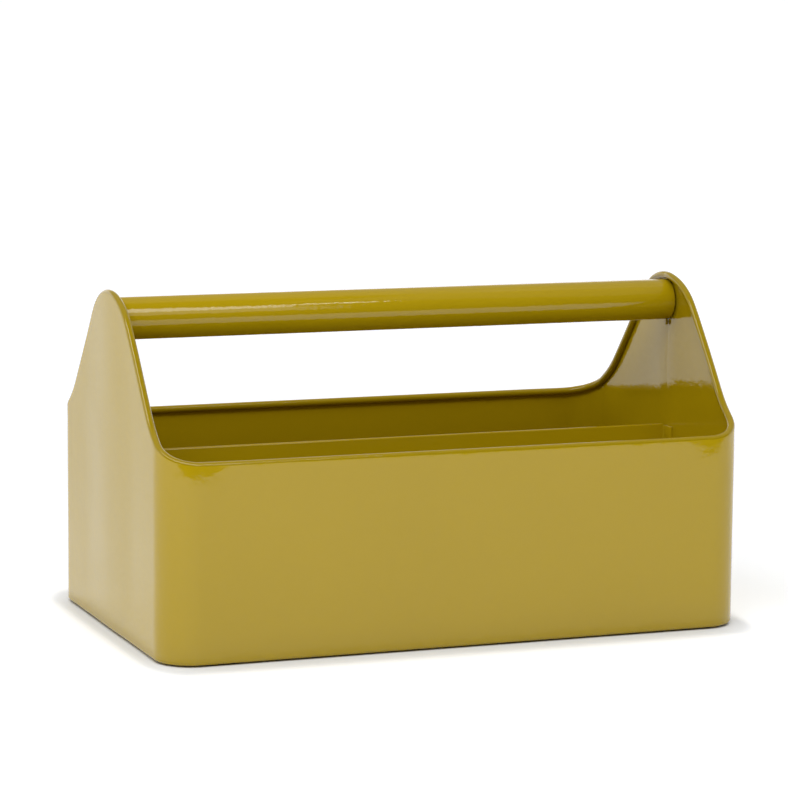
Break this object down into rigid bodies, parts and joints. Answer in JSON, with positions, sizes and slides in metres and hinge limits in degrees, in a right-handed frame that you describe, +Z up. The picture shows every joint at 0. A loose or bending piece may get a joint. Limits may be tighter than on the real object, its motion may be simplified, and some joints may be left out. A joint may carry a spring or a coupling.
{
  "type": "tool caddy",
  "caption": "Open sheet-steel tool caddy with rounded corners, a rolled rim, round-topped gable ends, a tube carrying handle between them and a low lengthwise divider.",
  "frame": {"origin": "on the floor, under the middle of the box", "axes": "+Z up, +X along the handle, -Y towards the viewer of the picture"},
  "size_m": [0.36, 0.22, 0.202],
  "materials": {
    "paint": "glossy olive-mustard enamel with a slight orange peel",
    "plug_steel": "bare pressed steel",
    "foot_rubber": "matt black"
  },
  "bodies": {
    "root": {"front_shell": "paint", "back_shell": "paint", "base_plate": "paint", "divider": "paint", "handle_tube": "paint", "handle_plug_left": "plug_steel", "handle_plug_right": "plug_steel", "foot_front_left": "foot_rubber", "foot_back_left": "foot_rubber", "foot_front_right": "foot_rubber", "foot_back_right": "foot_rubber"}
  },
  "joints": []
}
